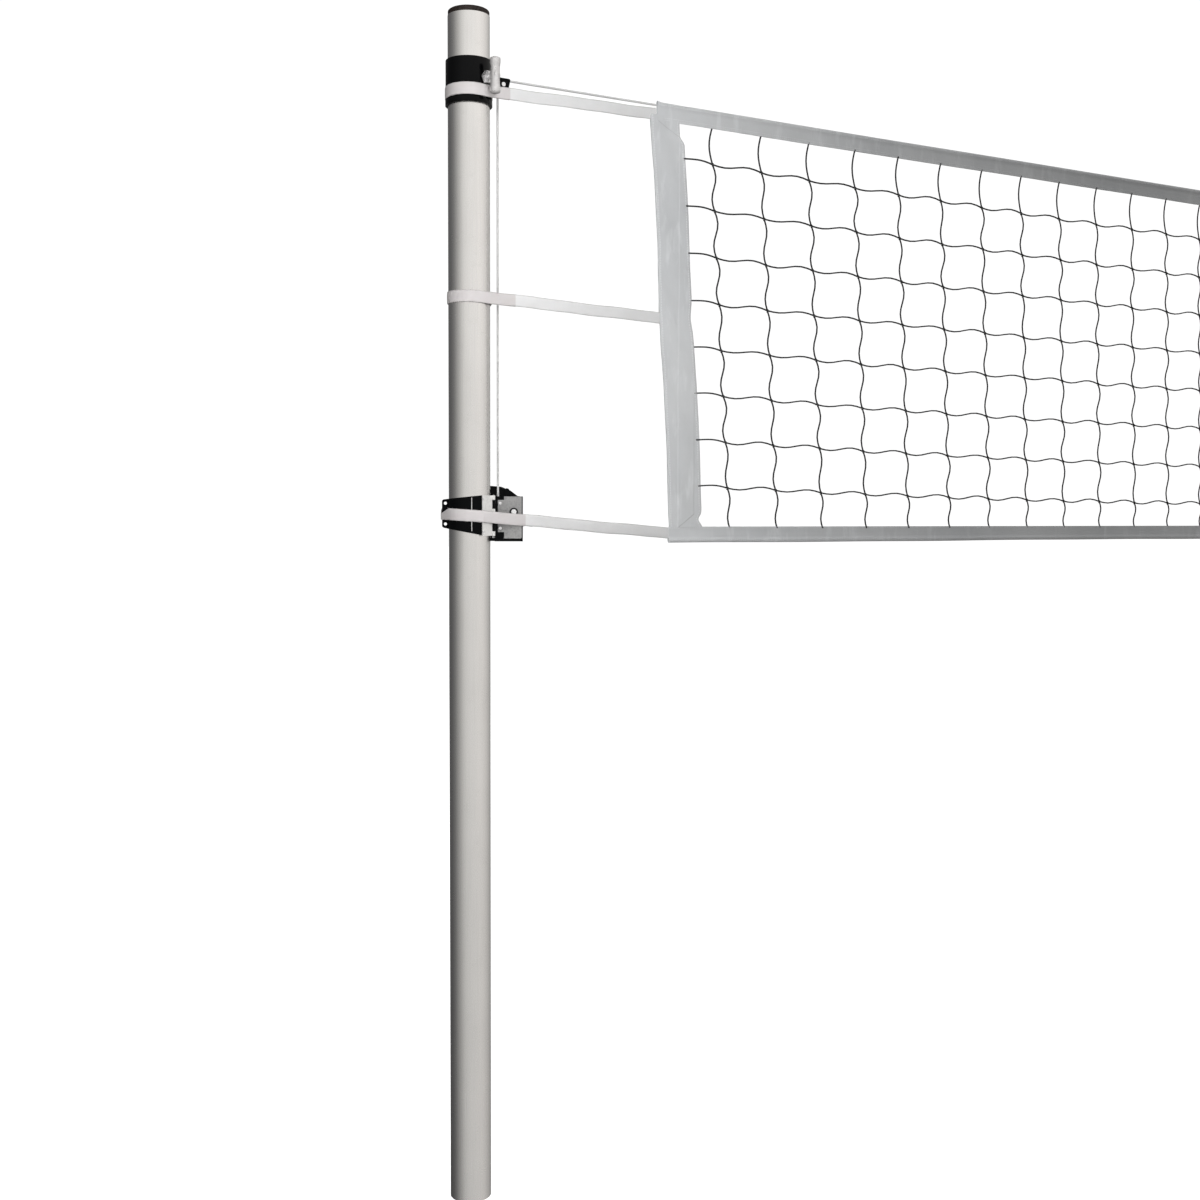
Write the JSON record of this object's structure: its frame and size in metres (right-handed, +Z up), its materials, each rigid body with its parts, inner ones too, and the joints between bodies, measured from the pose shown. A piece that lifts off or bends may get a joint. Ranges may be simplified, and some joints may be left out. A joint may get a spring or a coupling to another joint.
{
  "type": "volleyball net on poles",
  "caption": "Indoor volleyball net strung between round aluminium poles, with sliding clamp collars, webbing straps, a tension cable and a hand winch on one pole.",
  "frame": {"origin": "on the floor, midway between the two pole axes", "axes": "+Z up, +X along the net towards the pole without the winch, -Y towards the side the winch's cover plate faces"},
  "size_m": [10.7575, 0.1684, 2.8083],
  "materials": {
    "aluminium": "satin clear anodised",
    "black_paint": "gloss black powder coat",
    "zinc": "bright zinc plate",
    "cast_zinc": "silver lacquered casting",
    "steel": "machined and zinc plated",
    "rubber": "matt black",
    "nylon": "black nylon",
    "webbing": "woven white webbing",
    "vinyl": "coated light grey cloth",
    "net_cord": "knotted dark cord",
    "coated_cable": "white coated cable"
  },
  "bodies": {
    "poles": {"clamp_back_shell": "black_paint", "clamp_front_shell": "black_paint", "cover_plate_lower_rivet": "steel", "cover_plate_upper_rivet": "steel", "frame_lower_bolt": "steel", "frame_upper_bolt": "steel", "hinge_frame_leaf": "black_paint", "hinge_leaf": "zinc", "hinge_leaf_lower_screw": "steel", "hinge_leaf_upper_screw": "steel", "hinge_pin": "steel", "left_pole": "aluminium", "left_pole_cap": "rubber", "left_pole_foot": "rubber", "pawl_pin": "steel", "pawl_spring": "steel", "pinion_bush": "nylon", "right_pole": "aluminium", "right_pole_cap": "rubber", "right_pole_foot": "rubber", "winch_back_plate": "black_paint", "winch_cover_plate": "zinc", "winch_frame": "black_paint"},
    "net_set": {"bottom_band": "vinyl", "bottom_rope": "net_cord", "cable_ferrule": "zinc", "cable_thimble": "zinc", "left_bottom_strap": "webbing", "left_bracket_pin": "steel", "left_cable_bracket": "black_paint", "left_clamp_nut": "steel", "left_collar": "black_paint", "left_end_band": "vinyl", "left_middle_strap": "webbing", "left_top_strap": "webbing", "net_cable": "coated_cable", "netting": "net_cord", "right_bottom_strap": "webbing", "right_bracket_pin": "steel", "right_cable_bracket": "black_paint", "right_clamp_nut": "steel", "right_collar": "black_paint", "right_end_band": "vinyl", "right_middle_strap": "webbing", "right_top_strap": "webbing", "top_band": "vinyl"},
    "left_clamp": {"left_clamp_screw": "steel", "left_clamp_handle": "cast_zinc"},
    "right_clamp": {"right_clamp_screw": "steel", "right_clamp_handle": "cast_zinc"},
    "pulley": {"pulley_wheel": "nylon"},
    "drum_unit": {"drum": "zinc", "drum_shaft": "steel", "drum_gear": "steel", "cable_winding": "coated_cable"},
    "pinion_unit": {"pinion_shaft": "steel", "ratchet_wheel": "steel"},
    "pawl_unit": {"pawl": "black_paint"}
  },
  "joints": [
    {"name": "net_height", "type": "slide", "parent": "poles", "child": "net_set", "axis": [0, 0, 1], "range_m": [-0.35, 0.05], "deforming": ["net_cable"]},
    {"name": "left_clamp_turn", "type": "hinge", "parent": "net_set", "child": "left_clamp", "pos_m": [-5.325, 0, 2.408], "axis": [0.342, -0.9397, 0], "range_deg": [0, 270]},
    {"name": "right_clamp_turn", "type": "hinge", "parent": "net_set", "child": "right_clamp", "pos_m": [5.325, 0, 2.408], "axis": [-0.342, 0.9397, 0], "range_deg": [0, 270]},
    {"name": "pulley_spin", "type": "hinge", "parent": "net_set", "child": "pulley", "pos_m": [-5.247, 0, 2.4125], "axis": [0, 1, 0], "continuous": true},
    {"name": "drum_spin", "type": "hinge", "parent": "poles", "child": "drum_unit", "pos_m": [-5.25234, -0.03348, 1.47649], "axis": [0.4185, 0.9082, 0], "continuous": true},
    {"name": "pinion_spin", "type": "hinge", "parent": "poles", "child": "pinion_unit", "pos_m": [-5.2389, -0.03967, 1.5012], "axis": [0.4185, 0.9082, 0], "continuous": true},
    {"name": "pawl_lift", "type": "hinge", "parent": "poles", "child": "pawl_unit", "pos_m": [-5.26233, -0.02888, 1.524], "axis": [-0.4185, -0.9082, 0], "range_deg": [0, 20], "stiffness_Nm_per_rad": 0.05, "springref_deg": -17.19}
  ],
  "couplings": [
    {"joint": "pinion_spin", "follows": "drum_spin", "ratio": -3}
  ]
}
